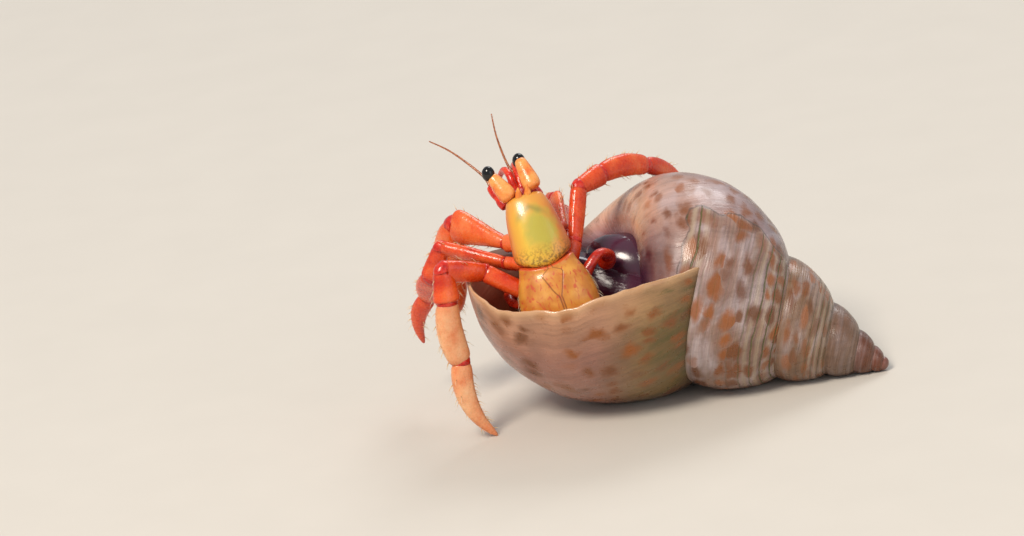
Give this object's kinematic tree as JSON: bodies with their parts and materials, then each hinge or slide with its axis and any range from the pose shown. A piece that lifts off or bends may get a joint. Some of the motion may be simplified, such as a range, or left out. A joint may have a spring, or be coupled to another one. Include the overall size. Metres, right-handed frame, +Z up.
{
  "type": "hermit crab in a snail shell",
  "caption": "Still life-size model of a small land hermit crab climbing out of a spiral snail shell that lies with its mouth up.",
  "frame": {"origin": "centre of the bounding box's bottom face, on the floor that the shell rests on", "axes": "+X from the crab towards the shell's tip, -Y towards the crab's back, where the shell's lip stands, +Z up"},
  "size_m": [0.0329, 0.021, 0.0211],
  "materials": {
    "shell": "semi-gloss snail shell, worn, with spotted spiral bands",
    "head_shield": "wet crustacean shell plate, yellow-orange",
    "rear_carapace": "wet thin shell plate, orange with red streaks",
    "leg_shell": "wet crustacean shell, orange-red",
    "leg_shell_pale": "wet crustacean shell, peach",
    "eyestalk": "wet crustacean shell, orange-red",
    "joint_skin": "wet flexible skin between the plates, red",
    "abdomen": "soft moist skin",
    "cornea": "polished black eye",
    "feeler": "satin, brown-orange"
  },
  "bodies": {
    "root": {"shell": "shell", "shield": "head_shield", "posterior_carapace": "rear_carapace", "trunk": "joint_skin", "abdomen_front": "abdomen", "abdomen_rear": "abdomen", "tail_fan": "leg_shell", "leg_2_left_ischium": "leg_shell", "leg_2_left_merus": "leg_shell", "leg_2_left_carpus": "leg_shell", "leg_2_left_propodus": "leg_shell_pale", "leg_2_left_dactyl": "leg_shell_pale", "leg_2_right_ischium": "leg_shell", "leg_2_right_merus": "leg_shell", "leg_2_right_carpus": "leg_shell", "leg_2_right_propodus": "leg_shell_pale", "leg_2_right_dactyl": "leg_shell_pale", "leg_3_left_ischium": "leg_shell", "leg_3_left_merus": "leg_shell", "leg_3_left_carpus": "leg_shell", "leg_3_left_propodus": "leg_shell_pale", "leg_3_left_dactyl": "leg_shell_pale", "leg_3_right_ischium": "leg_shell", "leg_3_right_merus": "leg_shell", "leg_3_right_carpus": "leg_shell", "leg_3_right_propodus": "leg_shell_pale", "leg_3_right_dactyl": "leg_shell_pale", "claw_left_ischium": "leg_shell", "claw_left_arm": "leg_shell", "claw_left_wrist": "leg_shell", "claw_left_palm": "leg_shell", "claw_left_finger": "leg_shell", "claw_right_ischium": "leg_shell", "claw_right_arm": "leg_shell", "claw_right_wrist": "leg_shell", "claw_right_palm": "leg_shell", "claw_right_finger": "leg_shell", "leg_4_left": "leg_shell", "leg_4_right": "leg_shell", "leg_5_left": "leg_shell", "leg_5_right": "leg_shell", "eyestalk_left": "eyestalk", "cornea_left": "cornea", "eye_scale_left": "head_shield", "antenna_base_left": "joint_skin", "antenna_left": "feeler", "antennule_left": "joint_skin", "mouth_leg_left": "joint_skin", "eyestalk_right": "eyestalk", "cornea_right": "cornea", "eye_scale_right": "head_shield", "antenna_base_right": "joint_skin", "antenna_right": "feeler", "antennule_right": "joint_skin", "mouth_leg_right": "joint_skin"}
  },
  "joints": []
}
